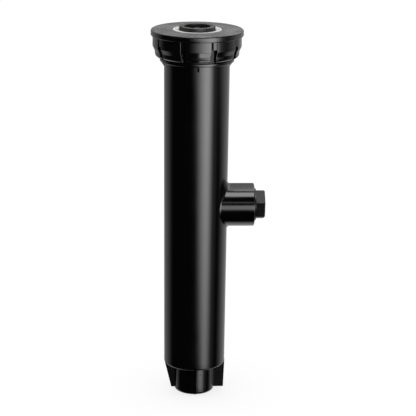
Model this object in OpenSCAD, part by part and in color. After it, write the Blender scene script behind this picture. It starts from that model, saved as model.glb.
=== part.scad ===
// Pop-up spray head, 6 inch pattern: a ribbed case with a bottom and a side inlet, a screw cap,
// and a spring-returned riser that carries a pressure regulator, a filter and an adjustable nozzle.
// Origin: centre of the bottom inlet's mouth. +Z is up, +X is the side inlet. Riser shown down.

/* [Case] */
// Pop-up stroke of the riser. The case's height follows it
stroke = 152.4; // [100:0.1:160]
// Diameter of the barrel at its upper end
barrel_top_d = 40.7; // [39.8:0.1:40.8]
// Diameter of the barrel at its lower end, smaller by the moulding draft
barrel_foot_d = 38.8; // [38.4:0.1:39.6]
// Height of the barrel's lower rim above the inlet's mouth
barrel_foot_z = 19; // [17:0.5:21]
// Outside diameter of the bottom inlet boss
foot_boss_d = 25.2; // [24.6:0.1:26.6]

/* [Side inlet] */
// Height of the side inlet's axis
side_z = 124.1; // [80:0.1:140]
// Outside diameter of the side inlet boss
side_boss_d = 27.1; // [25.4:0.1:28]
// Distance from the barrel's axis to the side inlet's mouth
side_mouth_x = 36.8; // [35:0.1:44]
// Width across the flats of the plug's hexagonal head
plug_flats = 17; // [14:0.1:19]
// Length of the plug's head
plug_head_l = 6.7; // [4:0.1:10]

/* [Cap] */
// Diameter of the cap's flange
cap_d = 57.4; // [56:0.1:60]
// Thickness of the cap's flange
flange_t = 3.8; // [3:0.1:4.4]
// Diameter of the skirt just under the flange
skirt_top_d = 55; // [54.4:0.1:55.6]
// Diameter of the skirt near its lower edge
skirt_foot_d = 52.2; // [51.6:0.1:52.8]
// Number of grip slots around the skirt
slot_count = 9; // [6:1:12]
// Width of each grip slot, as an angle
slot_angle = 7.5; // [6:0.5:12]
// Axial advance of the cap's thread in one turn
cap_pitch = 4; // [3.8:0.1:4.4]

/* [Riser] */
// Outside diameter of the riser tube
stem_d = 22.4; // [22:0.1:22.6]
// Number of working coils in the retraction spring
spring_coils = 18; // [14:1:20]

/* [Nozzle] */
// Diameter over the lobes of the arc collar
collar_d = 22.6; // [22.2:0.1:22.7]
// Number of lobes on the arc collar
lobe_count = 8; // [6:1:10]
// Height of the nozzle above the cap's top face
nozzle_rise = 2; // [1:0.1:3]

/* [Hidden] */
$fn = 96;
eps = 0.05;

black = "#1c1c1e";
soft_black = "#2a2a2c";
white = "#e9e9e6";
steel = "#b9bcc0";
grey = "#8d9196";

// Height of the cap's top face: the stroke, and room for the foot, the closed spring and the neck
cap_top_z = stroke + 83.6;

// Case levels and radii
floor_top_z = barrel_foot_z + 2.5;
bore_r = 17.3;
boss_bore_r = 10;
boss_bore_l = 16;
foot_opening_r = 9;
collar_z = cap_top_z - 19.8;
collar_h = 2;
collar_r = 23;
neck_top_z = cap_top_z - 5.6;
neck_root_r = 21.6;
neck_ledge_z = cap_top_z - 14;
neck_bore_r = 19.45;
key_rib_r = 16.2;
key_rib_w = 1.6;
key_count = 4;
fin_t = 1.5;
fin_foot_z = 1.3;
gusset_t = 1.3;
gusset_h = 3.4;
side_bore_r = 10.6;
plug_lean = 9.4;

// Cap
slot_first_angle = -180 / slot_count;
skirt_foot_z = cap_top_z - 16.9;
cap_root_r = 22.85;
cap_hole_r = 15.35;
cap_roof_z = cap_top_z - 3.4;
clamp_rib_r = 19.2;
clamp_rib_z = cap_top_z - 8.7;
slot_floor_top_r = 25;
slot_floor_foot_r = 23.8;
slot_pad_r = 27.1;
slot_pad_foot_z = cap_top_z - 8.8;

// Threads between cap and case: one male, one female, half a pitch apart
thread_depth = 0.95;
thread_base_w = 0.6 * cap_pitch;
thread_crest_w = 0.35 * cap_pitch;
thread_z = cap_top_z - 15.4;
thread_turns = 1.75;

// Seal and spring seat
seal_foot_z = neck_ledge_z + 2.65;
seal_flange_h = 2.6;
seal_lip_r = max(collar_d, stem_d) / 2 + 0.15;

// Riser
stem_r = stem_d / 2;
stem_bore_r = 8.6;
stem_neck_bore_r = 8;
stem_foot_z = floor_top_z + 2;
stem_top_z = cap_top_z - 6.1;
stem_shoulder_z = cap_top_z - 11.5;
stem_flange_z = floor_top_z + 2.5;
stem_flange_h = 2;
stem_flange_r = 15.8;
tooth_count = 24;
tooth_h = 0.6;
ratchet_z = stem_flange_z + stem_flange_h + tooth_h + 0.2;
ratchet_h = 4;
spring_wire_r = 0.75;
spring_mean_r = 14.6;
spring_foot_z = ratchet_z + ratchet_h + eps;
spring_top_z = neck_ledge_z + 0.05;

// Regulator, measured up from the stem's foot
regulator_seat_z = stem_foot_z + 11;
housing_z = regulator_seat_z + 10;
housing_l = 36;
piston_head_z = housing_z + 24;
piston_travel = 2.5;

// Nozzle
nozzle_top_z = cap_top_z + nozzle_rise;
nozzle_foot_z = stem_shoulder_z + 0.1;
nozzle_deck_z = cap_top_z - 5;
collar_foot_z = cap_top_z - 3.4;
collar_bore_r = 8.2;
screw_top_z = nozzle_top_z - 1.4;

// A solid skinned over equal rings of points, closed at both ends.
module skin(rings) {
    n = len(rings[0]);
    last = len(rings) - 1;
    points = [for (ring = rings) each ring];
    sides = [
        for (i = [0:last - 1], j = [0:n - 1])
        [i * n + j, i * n + (j + 1) % n, (i + 1) * n + (j + 1) % n, (i + 1) * n + j]
    ];
    ends = [[for (j = [n - 1:-1:0]) j], [for (j = [0:n - 1]) last * n + j]];
    polyhedron(points, concat(sides, ends));
}

// Turns points given as [radius, z] to the half-plane at an angle.
function at_angle(profile, angle) = [for (p = profile) [p.x * cos(angle), p.x * sin(angle), p.y]];

// Height of a coil's centre line: one closed turn at each end and an even pitch between.
function coil_z(turn, turns, wire_r, height) =
    let (closed = 2.1 * wire_r, pitch = (height - 2 * wire_r - 2 * closed) / (turns - 2))
    wire_r + closed * min(turn, 1) + pitch * max(0, min(turn - 1, turns - 2))
        + closed * max(0, turn - turns + 1);

module coil(mean_r, wire_r, turns, height, steps = 20, sides = 6) {
    wire = [for (j = [0:sides - 1]) wire_r * [cos(j * 360 / sides), sin(j * 360 / sides)]];
    skin([
        for (i = [0:turns * steps])
        let (centre = [mean_r, coil_z(i / steps, turns, wire_r, height)])
        at_angle([for (p = wire) centre + p], i * 360 / steps)
    ]);
}

// One start of thread that fades into its wall at both ends. The root lies 0.4 inside the wall.
module thread(wall_r, crest_r, turns, first_angle, steps = 36) {
    inward = crest_r < wall_r ? 1 : -1;
    root_r = wall_r + 0.4 * inward;
    skin([
        for (i = [0:turns * steps])
        let (
            turn = i / steps,
            fade = min(1, 8 * turn + 0.05, 8 * (turns - turn) + 0.05),
            tip_r = wall_r + (crest_r - wall_r) * fade,
            z = cap_pitch * turn,
            base = thread_base_w / 2,
            crest = thread_crest_w / 2,
            ring = [[root_r, z - base], [tip_r, z - crest], [tip_r, z + crest], [root_r, z + base]]
        )
        at_angle(inward > 0 ? [ring[3], ring[2], ring[1], ring[0]] : ring, first_angle + 360 * turn)
    ]);
}

// A bead ring on a shaft, as a plain stand-in for a thread crest that never moves.
module bead(r, height, z, width = 0.9) {
    translate([0, 0, z - width / 2])
        rotate_extrude()
            polygon([
                [r - 0.3, 0],
                [r, 0],
                [r + height, width * 0.35],
                [r + height, width * 0.65],
                [r, width],
                [r - 0.3, width]
            ]);
}

module tube(outer_r, inner_r, height) {
    difference() {
        cylinder(r = outer_r, h = height);
        translate([0, 0, -1])
            cylinder(r = inner_r, h = height + 2);
    }
}

// An upright web from the axis outwards, with its outer edge given as [radius, z] points.
module web(profile, thickness) {
    rotate([90, 0, 0])
        translate([0, 0, -thickness / 2])
            linear_extrude(thickness)
                polygon(profile);
}

module case_shell() {
    rotate_extrude()
        polygon([
            [foot_opening_r, boss_bore_l],
            [boss_bore_r, boss_bore_l],
            [boss_bore_r, 0],
            [foot_boss_d / 2 - 1.8, 0],
            [foot_boss_d / 2 - 0.5, 0.5],
            [foot_boss_d / 2, 1.8],
            [foot_boss_d / 2, barrel_foot_z],
            [barrel_foot_d / 2 - 1.3, barrel_foot_z],
            [barrel_foot_d / 2 - 0.35, barrel_foot_z + 0.35],
            [barrel_foot_d / 2, barrel_foot_z + 1.3],
            [barrel_top_d / 2, collar_z],
            [collar_r, collar_z],
            [collar_r, collar_z + collar_h],
            [neck_root_r, collar_z + collar_h],
            [neck_root_r, neck_top_z - 0.6],
            [neck_root_r - 0.6, neck_top_z],
            [neck_bore_r, neck_top_z],
            [neck_bore_r, neck_ledge_z],
            [bore_r, neck_ledge_z],
            [bore_r, floor_top_z],
            [foot_opening_r, floor_top_z]
        ]);
}

// Four fins from the bottom boss to the barrel's rim. The one under the side inlet is full width.
module foot_fins() {
    wide_rim_r = barrel_foot_d / 2 + 0.2;
    wide_foot_r = wide_rim_r - 0.7;
    narrow_rim_r = barrel_foot_d / 2;
    narrow_foot_r = foot_boss_d / 2 + 2.2;
    root_r = foot_boss_d / 2 - 1;
    rim_z = barrel_foot_z + 1.2;
    for (i = [0:3]) {
        foot_r = i == 0 ? wide_foot_r : narrow_foot_r;
        rim_r = i == 0 ? wide_rim_r : narrow_rim_r;
        rotate(i * 90)
            web([[root_r, fin_foot_z], [foot_r, fin_foot_z], [rim_r, rim_z], [root_r, rim_z]], fin_t);
    }
}

// Four small gussets that prop the collar up from the barrel.
module collar_gussets() {
    root_r = barrel_top_d / 2 - 1;
    for (i = [0:3])
        rotate(i * 90)
            web(
                [
                    [root_r, collar_z - gusset_h],
                    [root_r + 0.9, collar_z - gusset_h],
                    [collar_r - 0.7, collar_z - 0.3],
                    [collar_r - 0.7, collar_z + 0.5],
                    [root_r, collar_z + 0.5]
                ],
                gusset_t
            );
}

module side_boss() {
    translate([bore_r + 0.4, 0, side_z])
        rotate([0, 90, 0])
            rotate_extrude()
                polygon([
                    [0, 0],
                    [side_boss_d / 2, 0],
                    [side_boss_d / 2, side_mouth_x - bore_r - 1.1],
                    [side_boss_d / 2 - 0.25, side_mouth_x - bore_r - 0.6],
                    [side_boss_d / 2 - 0.8, side_mouth_x - bore_r - 0.4],
                    [0, side_mouth_x - bore_r - 0.4]
                ]);
}

module key_ribs() {
    for (i = [0:key_count - 1])
        rotate(45 + i * 360 / key_count)
            translate([key_rib_r, -key_rib_w / 2, floor_top_z + 2])
                cube([bore_r - key_rib_r + 0.4, key_rib_w, neck_ledge_z - floor_top_z - 3]);
}

// Case: barrel, neck, both inlet bosses, fins under the barrel, gussets and the key ribs inside it.
module body_case() {
    color(black)
        difference() {
            union() {
                case_shell();
                foot_fins();
                collar_gussets();
                key_ribs();
                side_boss();
                translate([0, 0, thread_z])
                    thread(neck_root_r, neck_root_r + thread_depth, thread_turns, 0);
            }
            translate([bore_r - 3, 0, side_z])
                rotate([0, 90, 0])
                    cylinder(r = side_bore_r, h = side_mouth_x);
        }
}

// Side inlet plug: beaded shank inside the boss and a hexagonal head.
module side_plug() {
    shank_r = side_bore_r - 0.5;
    shank_l = 13;
    color(soft_black)
        translate([side_mouth_x + 0.05, 0, side_z])
            rotate([0, 90, 0])
                difference() {
                    union() {
                        rotate(plug_lean)
                            cylinder(d = plug_flats / cos(30), h = plug_head_l, $fn = 6);
                        translate([0, 0, -shank_l])
                            cylinder(r = shank_r, h = shank_l + 1);
                        for (i = [0:5])
                            bead(shank_r, 0.35, -2 - 1.8 * i);
                    }
                    translate([0, 0, -shank_l - 1])
                        cylinder(r = 6.5, h = shank_l - 1);
                }
}

module cap_shell() {
    flange_r = cap_d / 2;
    skirt_r = skirt_top_d / 2;
    foot_r = skirt_foot_d / 2;
    rotate_extrude()
        polygon([
            [cap_hole_r, clamp_rib_z],
            [cap_hole_r, cap_top_z - 0.3],
            [cap_hole_r + 0.3, cap_top_z],
            [flange_r - 1.1, cap_top_z],
            [flange_r - 0.3, cap_top_z - 0.35],
            [flange_r, cap_top_z - 1.1],
            [flange_r, cap_top_z - flange_t + 0.5],
            [flange_r - 0.5, cap_top_z - flange_t],
            [skirt_r, cap_top_z - flange_t],
            [skirt_r, cap_top_z - 10.2],
            [foot_r, cap_top_z - 13.2],
            [foot_r - 0.2, skirt_foot_z + 1.9],
            [foot_r - 0.7, skirt_foot_z + 0.6],
            [foot_r - 2, skirt_foot_z],
            [cap_root_r + 0.5, skirt_foot_z],
            [cap_root_r, skirt_foot_z + 0.5],
            [cap_root_r, cap_roof_z],
            [clamp_rib_r, cap_roof_z],
            [clamp_rib_r, clamp_rib_z]
        ]);
}

module grip_slots() {
    for (i = [0:slot_count - 1])
        rotate(slot_first_angle - 90 - slot_angle / 2 + i * 360 / slot_count)
            rotate_extrude(angle = slot_angle)
                polygon([
                    [slot_floor_top_r, cap_top_z - flange_t],
                    [slot_floor_top_r, slot_pad_foot_z],
                    [slot_floor_foot_r, skirt_foot_z - 1],
                    [cap_d / 2, skirt_foot_z - 1],
                    [cap_d / 2, cap_top_z - flange_t]
                ]);
}

// A pad in the upper half of each slot leaves a narrow gap on one side.
module slot_pads() {
    gap_angle = 0.35 * slot_angle;
    pad_angle = slot_angle - gap_angle + 1;
    pad_h = cap_top_z - flange_t - slot_pad_foot_z + 0.5;
    for (i = [0:slot_count - 1])
        rotate(slot_first_angle - 90 - slot_angle / 2 + gap_angle + i * 360 / slot_count)
            rotate_extrude(angle = pad_angle)
                translate([slot_floor_top_r - 1, slot_pad_foot_z])
                    square([slot_pad_r - slot_floor_top_r + 1, pad_h]);
}

// Cap: wide flange, slotted grip skirt, clamping rib over the seal and one inner thread.
module cap() {
    color(black) {
        difference() {
            cap_shell();
            grip_slots();
        }
        slot_pads();
        translate([0, 0, thread_z])
            thread(cap_root_r, cap_root_r - thread_depth, thread_turns, 180);
    }
}

// Wiper seal: clamped flange, a hub that shows as a pale ring in the cap, and two lips on the riser.
module wiper_seal() {
    hub_r = cap_hole_r - 0.2;
    color(white)
        rotate_extrude()
            polygon([
                [seal_lip_r, seal_foot_z + 0.5],
                [seal_lip_r + 0.3, seal_foot_z],
                [clamp_rib_r, seal_foot_z],
                [clamp_rib_r, seal_foot_z + seal_flange_h],
                [hub_r, seal_foot_z + seal_flange_h],
                [hub_r, cap_top_z],
                [seal_lip_r + 0.2, cap_top_z],
                [seal_lip_r, cap_top_z - 0.2],
                [seal_lip_r, cap_top_z - 1.2],
                [12.8, cap_top_z - 2.2],
                [12.8, seal_foot_z + 2.4],
                [seal_lip_r, seal_foot_z + 1.3]
            ]);
}

// Rigid ring on the neck's ledge that the spring pushes against. Its spigot centres the spring.
module spring_seat_ring() {
    color(soft_black)
        translate([0, 0, neck_ledge_z + 0.05])
            difference() {
                union() {
                    tube(neck_bore_r - 0.1, 12.4, 2.5);
                    translate([0, 0, -1.6])
                        tube(13.5, 12.4, 1.7);
                }
                for (i = [0:7])
                    rotate(22.5 + i * 45)
                        translate([17.8, 0, -1])
                            cylinder(r = 0.9, h = 5);
            }
}

// Retraction spring with closed ends.
module retract_spring() {
    color(steel)
        translate([0, 0, spring_foot_z])
            coil(spring_mean_r, spring_wire_r, spring_coils + 2, spring_top_z - spring_foot_z - eps);
}

module teeth(outer_r, inner_r, z, height) {
    for (i = [0:tooth_count / 2 - 1])
        rotate(i * 360 / (tooth_count / 2))
            translate([0, 0, z])
                rotate_extrude(angle = 360 / tooth_count)
                    translate([inner_r, 0])
                        square([outer_r - inner_r, height]);
}

// Ratchet ring: keyed to the case's ribs, free to turn on the riser, and the spring's lower seat.
module ratchet_ring() {
    ring_r = bore_r - 0.25;
    pawl_h = 0.6;
    color(grey)
        translate([0, 0, ratchet_z])
            difference() {
                tube(ring_r, stem_r + 0.3, ratchet_h);
                for (i = [0:key_count - 1])
                    rotate(45 + i * 360 / key_count)
                        translate([key_rib_r - 0.25, -key_rib_w / 2 - 0.3, -1])
                            cube([4, key_rib_w + 0.6, ratchet_h + 2]);
                teeth(ring_r - 1.4, stem_r + 1.2, -1, 1 + pawl_h);
            }
}

// Snap ring that holds the ratchet ring down against the riser's flange, inside the spring.
module ratchet_retainer() {
    color(grey)
        translate([0, 0, ratchet_z + ratchet_h + eps])
            difference() {
                tube(13.4, stem_r + eps, 1.4);
                translate([0, -1.2, -1])
                    cube([20, 2.4, 4]);
            }
}

// Riser tube: toothed flange at the foot, straight bore, and a reduced neck for the nozzle.
module riser_stem() {
    color(black) {
        rotate_extrude()
            polygon([
                [stem_bore_r, stem_foot_z],
                [stem_r - 0.4, stem_foot_z],
                [stem_r, stem_foot_z + 0.4],
                [stem_r, stem_flange_z],
                [stem_flange_r, stem_flange_z],
                [stem_flange_r, stem_flange_z + stem_flange_h],
                [stem_r, stem_flange_z + stem_flange_h],
                [stem_r, stem_shoulder_z - 0.4],
                [stem_r - 0.4, stem_shoulder_z],
                [9.3, stem_shoulder_z],
                [9.3, stem_top_z],
                [stem_neck_bore_r, stem_top_z],
                [stem_neck_bore_r, stem_shoulder_z - 6],
                [stem_bore_r, stem_shoulder_z - 7]
            ]);
        teeth(stem_flange_r - 0.2, stem_r + 1.4, stem_flange_z + stem_flange_h - 0.2, tooth_h + 0.2);
        for (i = [0:2])
            bead(9.3, 0.4, stem_shoulder_z + 1.2 + 1.4 * i);
    }
}

// Rubber washer that closes the inlet opening when the riser is down.
module foot_seal() {
    color(soft_black)
        translate([0, 0, floor_top_z + eps])
            tube(13.5, 6.6, stem_foot_z - floor_top_z - 2 * eps);
}

// Snap-in bush that clamps the foot washer to the riser.
module foot_seal_retainer() {
    color(grey)
        rotate_extrude()
            polygon([
                [5.2, floor_top_z - 1.3],
                [8, floor_top_z - 1.3],
                [8.4, floor_top_z - 0.9],
                [8.4, floor_top_z - eps],
                [6.4, floor_top_z - eps],
                [6.4, stem_foot_z + eps],
                [stem_bore_r - 0.1, stem_foot_z + eps],
                [stem_bore_r - 0.1, stem_foot_z + 7],
                [5.2, stem_foot_z + 8]
            ]);
}

// Regulator seat: a ring with a button on three arms that the piston's tube closes against.
module regulator_seat() {
    color(grey)
        translate([0, 0, regulator_seat_z]) {
            tube(stem_bore_r - 0.1, 7.1, 4);
            cylinder(r = 3.4, h = 4.5);
            for (i = [0:2])
                rotate(i * 120)
                    translate([3, -0.7, 0])
                        cube([4.5, 1.4, 2]);
        }
}

// Regulator housing: sleeve with a floor that guides the piston's tube.
module regulator_housing() {
    color(grey)
        translate([0, 0, housing_z])
            rotate_extrude()
                polygon([
                    [4.1, 0],
                    [stem_bore_r - 0.1, 0],
                    [stem_bore_r - 0.1, housing_l],
                    [7.4, housing_l],
                    [6.9, housing_l - 1],
                    [6.9, 2],
                    [4.1, 2]
                ]);
}

// Regulator piston: tube through the housing's floor with a grooved head.
module regulator_piston() {
    foot_z = regulator_seat_z + 4.5 + piston_travel + 0.1;
    color(white)
        rotate_extrude()
            polygon([
                [2.7, foot_z],
                [3.9, foot_z],
                [3.9, piston_head_z],
                [6.6, piston_head_z],
                [6.6, piston_head_z + 1.1],
                [5.2, piston_head_z + 1.1],
                [5.2, piston_head_z + 2.9],
                [6.6, piston_head_z + 2.9],
                [6.6, piston_head_z + 4],
                [2.7, piston_head_z + 4]
            ]);
}

// Piston ring seal in the head's groove.
module regulator_oring() {
    color(soft_black)
        translate([0, 0, piston_head_z + 2])
            rotate_extrude()
                translate([6.05, 0])
                    circle(r = 0.75, $fn = 48);
}

// Regulator spring between the housing's floor and the piston's head.
module regulator_spring() {
    foot_z = housing_z + 2 + eps;
    color(steel)
        translate([0, 0, foot_z])
            coil(5.35, 0.45, 9, piston_head_z - foot_z - eps, steps = 16);
}

// Filter cage: rim on the riser's neck, four ribs, two hoops and a closed foot.
module filter_frame() {
    foot_z = stem_top_z - 46;
    color(white) {
        translate([0, 0, stem_top_z + eps])
            tube(9.2, 7, 0.9);
        translate([0, 0, stem_top_z - 1.5])
            tube(7.8, 7, 2);
        for (z = [foot_z + 15, foot_z + 30])
            translate([0, 0, z])
                tube(7.8, 7.2, 1);
        translate([0, 0, foot_z])
            cylinder(r = 7.8, h = 1.5);
        for (i = [0:3])
            rotate(i * 90)
                translate([7.2, -0.7, foot_z + 0.5])
                    cube([0.55, 1.4, 45]);
    }
}

// Filter screen: thin perforated tube inside the cage.
module filter_mesh() {
    foot_z = stem_top_z - 44.4;
    rows = 9;
    columns = 12;
    color(steel)
        difference() {
            translate([0, 0, foot_z])
                tube(7.1, 6.8, 42.6);
            for (i = [0:rows - 1], j = [0:columns - 1])
                translate([0, 0, foot_z + 2 + i * 4.4])
                    rotate(15 + j * 360 / columns)
                        translate([6, -0.9, 0])
                            cube([2, 1.8, 3.2]);
        }
}

// Nozzle base: screws over the riser's neck and carries the collar.
module nozzle_base() {
    color(black)
        rotate_extrude()
            polygon([
                [9.9, nozzle_foot_z],
                [stem_r - 0.4, nozzle_foot_z],
                [stem_r, nozzle_foot_z + 0.4],
                [stem_r, nozzle_deck_z + 1.2],
                [stem_r - 0.3, nozzle_deck_z + 1.5],
                [4.2, nozzle_deck_z + 1.5],
                [4.2, nozzle_deck_z],
                [9.9, nozzle_deck_z]
            ]);
}

// Arc collar: lobed ring turned by hand to set the spray arc.
module arc_collar() {
    height = nozzle_top_z - collar_foot_z;
    notch_d = 0.8;
    color(black)
        translate([0, 0, collar_foot_z])
            difference() {
                rotate_extrude()
                    polygon([
                        [collar_bore_r, 0],
                        [collar_d / 2, 0],
                        [collar_d / 2, height - 0.5],
                        [collar_d / 2 - 0.5, height],
                        [collar_bore_r + 0.4, height],
                        [collar_bore_r, height - 0.4]
                    ]);
                for (i = [0:lobe_count - 1])
                    rotate((i + 0.5) * 360 / lobe_count)
                        translate([collar_d / 2 - notch_d, -1.1, -1])
                            cube([2, 2.2, height + 2]);
            }
}

// Nozzle deflector: stalk through the base, a disc at the hollow's floor, hub and spokes.
module nozzle_deflector() {
    hub_top_z = screw_top_z - 0.3;
    color(black)
        difference() {
            union() {
                translate([0, 0, nozzle_deck_z - 4])
                    cylinder(r = 4.1, h = collar_foot_z - nozzle_deck_z + 4.1);
                translate([0, 0, collar_foot_z])
                    cylinder(r = collar_bore_r - 0.15, h = 1.2);
                translate([0, 0, collar_foot_z])
                    cylinder(r = 3, h = hub_top_z - collar_foot_z);
                for (i = [0:5])
                    rotate(15 + i * 60)
                        translate([2.5, -0.45, collar_foot_z + 1])
                            cube([5.4, 0.9, hub_top_z - collar_foot_z - 1.8]);
            }
            translate([0, 0, nozzle_deck_z - 5])
                cylinder(r = 1.6, h = 20);
            translate([0, 0, hub_top_z - 1.2])
                cylinder(r = 2.15, h = 3);
        }
}

// Radius screw: slotted head in the hub, shank down to the filter.
module radius_screw() {
    color(steel)
        difference() {
            union() {
                translate([0, 0, screw_top_z - 1.4])
                    cylinder(r = 2.05, h = 1.4);
                translate([0, 0, nozzle_deck_z - 9])
                    cylinder(r = 1.3, h = screw_top_z - nozzle_deck_z + 8);
                for (i = [0:6])
                    bead(1.3, 0.2, nozzle_deck_z - 7.5 + i * 0.9, width = 0.7);
            }
            translate([-3, -0.35, screw_top_z - 0.7])
                cube([6, 0.7, 2]);
        }
}

body_case();
side_plug();
cap();
wiper_seal();
spring_seat_ring();
retract_spring();
ratchet_ring();
ratchet_retainer();
riser_stem();
foot_seal();
foot_seal_retainer();
regulator_seat();
regulator_housing();
regulator_piston();
regulator_oring();
regulator_spring();
filter_frame();
filter_mesh();
nozzle_base();
arc_collar();
nozzle_deflector();
radius_screw();
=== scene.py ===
"""Looks of the pop-up spray head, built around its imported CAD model.

Shapes are worked out in millimetres and become metres when a mesh is made. The heights and the
outer radii come from the CAD nodes' boxes. Below an outline, corners are (radius, height) or
(radius, height, rounding), and angles run anticlockwise from +X, the side inlet.
"""

import math

import bmesh
import bpy
import numpy as np
from mathutils import Matrix, Vector


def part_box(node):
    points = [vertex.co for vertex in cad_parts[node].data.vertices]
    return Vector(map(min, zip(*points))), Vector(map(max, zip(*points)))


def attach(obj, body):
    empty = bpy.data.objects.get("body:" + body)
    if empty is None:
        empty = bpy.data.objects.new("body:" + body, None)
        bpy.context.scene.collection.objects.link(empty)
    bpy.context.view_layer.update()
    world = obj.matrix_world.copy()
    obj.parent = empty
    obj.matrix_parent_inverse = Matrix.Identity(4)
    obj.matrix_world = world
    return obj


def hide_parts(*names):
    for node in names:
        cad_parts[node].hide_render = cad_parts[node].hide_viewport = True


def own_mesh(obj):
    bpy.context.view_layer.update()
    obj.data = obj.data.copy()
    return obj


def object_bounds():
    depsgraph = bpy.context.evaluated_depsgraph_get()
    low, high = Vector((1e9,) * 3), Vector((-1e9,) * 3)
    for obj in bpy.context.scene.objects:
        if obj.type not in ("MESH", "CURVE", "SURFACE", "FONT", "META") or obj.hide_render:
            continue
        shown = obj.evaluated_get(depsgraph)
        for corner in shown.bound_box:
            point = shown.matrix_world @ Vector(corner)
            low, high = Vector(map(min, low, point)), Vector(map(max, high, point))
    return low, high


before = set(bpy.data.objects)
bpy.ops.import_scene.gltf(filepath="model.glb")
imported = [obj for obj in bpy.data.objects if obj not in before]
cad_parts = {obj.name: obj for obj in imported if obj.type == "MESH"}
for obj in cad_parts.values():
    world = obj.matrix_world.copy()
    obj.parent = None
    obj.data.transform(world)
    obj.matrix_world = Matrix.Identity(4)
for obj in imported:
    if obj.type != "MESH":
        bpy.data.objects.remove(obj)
cad_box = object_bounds()

MM = 0.001
COLLECTION = bpy.context.scene.collection


def top(node):
    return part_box(node)[1] / MM


def foot(node):
    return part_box(node)[0] / MM


# ---------------------------------------------------------------- sizes, in millimetres

CAP_TOP = top("cap").z
CAP_R = -foot("cap").x
SKIRT_FOOT = foot("cap").z
CASE_TOP = top("body_case").z
SIDE_Z = (top("side_plug").z + foot("side_plug").z) / 2
MOUTH_X = top("body_case").x
PLUG_X = top("side_plug").x
NOZZLE_TOP = top("arc_collar").z
COLLAR_R = top("arc_collar").y
STEM_R = 11.2
STEM_BORE_R = 8.6
STEM_FOOT = foot("riser_stem").z
STEM_TOP = top("riser_stem").z
TUBE_R = 8.5
NECK_TUBE_R = 9.3
SHOULDER_Z = CAP_TOP - 11.5

RATCHET_Z = foot("ratchet_ring").z
RATCHET_TOP = top("ratchet_ring").z
TOOTH_H = 0.6
TOOTH_COUNT = 12
TOOTH_SHARE = 0.5
TOOTH_GAP = 0.2
RISER_FLANGE_T = 2
RISER_FLANGE_R = 15.8
RISER_FLANGE_Z = RATCHET_Z - RISER_FLANGE_T - TOOTH_H - TOOTH_GAP

BARREL_FOOT_Z = 19
BARREL_FOOT_R = 19.4
BARREL_TOP_R = 20.35
COLLAR_Z = CAP_TOP - 19.8
CASE_COLLAR_R = 23
CASE_COLLAR_T = 2
NECK_R = 21.6
SEAT_BORE_R = 19.45
LEDGE_Z = CAP_TOP - 14
BORE_R = 17.3
FLOOR_Z = 21.5
INLET_R = 10
INLET_DEPTH = 16
INLET_HOLE_R = 9
BOSS_R = 12.6
FIN_FOOT_Z = 1.3
FIN_FOOT_R = BOSS_R + 2.2
SIDE_BOSS_R = 13.55
SIDE_BORE_R = 10.6
PIPE_PITCH = 1.814

PLUG_FLATS = 17
PLUG_LEAN = math.radians(9.4)
SHANK_R = 10.1

CAP_ROOT_R = 22.85
CAP_HOLE_R = 15.35
CLAMP_RIB_R = 19.2
FLANGE_T = 3.8
SKIRT_TOP_R = 27.5
THREAD_Z = CAP_TOP - 15.4
THREAD_PITCH = 4
THREAD_TURNS = 1.75
THREAD_DEPTH = 0.95
SLOT_COUNT = 9
SLOT_ANGLE = math.radians(7.5)
SLOT_R = 27
SLOT_HALF = SLOT_R * SLOT_ANGLE / 2
SLOT_FLOOR_R = 25
SLOT_LEAN = 1.2
PAD_FOOT = CAP_TOP - 8.8
PAD_R = 27.1
PAD_GAP_SHARE = 0.35
PAD_EDGE = SLOT_HALF * (2 * PAD_GAP_SHARE - 1)

DECK_Z = CAP_TOP - 5
DISH_Z = CAP_TOP - 3.4
LOBE_COUNT = 8

LATHE_STEPS = 144
FINE_STEPS = 192


# ---------------------------------------------------------------- mesh tools


def fillet(corners, steps=5):
    """An outline through corners given as (a, b) or (a, b, radius), with an arc at each radius."""
    out = []
    for i, corner in enumerate(corners):
        p = Vector(corner[:2])
        if len(corner) < 3:
            out.append(p)
            continue
        before = (Vector(corners[i - 1][:2]) - p).normalized()
        after = (Vector(corners[(i + 1) % len(corners)][:2]) - p).normalized()
        half = math.acos(max(-1, min(1, before.dot(after)))) / 2
        centre = p + (before + after).normalized() * corner[2] / math.sin(half)
        start = p + before * corner[2] / math.tan(half) - centre
        end = p + after * corner[2] / math.tan(half) - centre
        sweep = math.pi - 2 * half
        for k in range(steps + 1):
            a = sweep * k / steps
            out.append(centre + (start * math.sin(sweep - a) + end * math.sin(a)) / math.sin(sweep))
    return out


def oblong(inner, outer, low, high, *rounding):
    """A rectangle's corners from the inner lower one on, each with its rounding if given."""
    corners = (inner, low), (outer, low), (outer, high), (inner, high)
    return [corner + rounding[i : i + 1] for i, corner in enumerate(corners)]


def densified(outline, longest):
    """The outline with points added so that no side is longer than longest."""
    out = []
    for i, p in enumerate(outline):
        after = outline[(i + 1) % len(outline)]
        count = max(1, math.ceil((after - p).length / longest))
        out += [p.lerp(after, k / count) for k in range(count)]
    return out


def plain(name, points, faces):
    """A mesh object from points in millimetres."""
    mesh = bpy.data.meshes.new(name)
    mesh.from_pydata([tuple(c * MM for c in p) for p in points], [], faces)
    return placed(name, mesh)


def placed(name, mesh):
    obj = bpy.data.objects.new(name, mesh)
    COLLECTION.objects.link(obj)
    return obj


def clean(obj):
    """Merges double points, drops faces without an area and turns the rest outwards."""
    work = bmesh.new()
    work.from_mesh(obj.data)
    bmesh.ops.remove_doubles(work, verts=work.verts, dist=0.002 * MM)
    bmesh.ops.dissolve_degenerate(work, dist=0.001 * MM, edges=work.edges)
    bmesh.ops.recalc_face_normals(work, faces=work.faces)
    work.to_mesh(obj.data)
    work.free()


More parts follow.
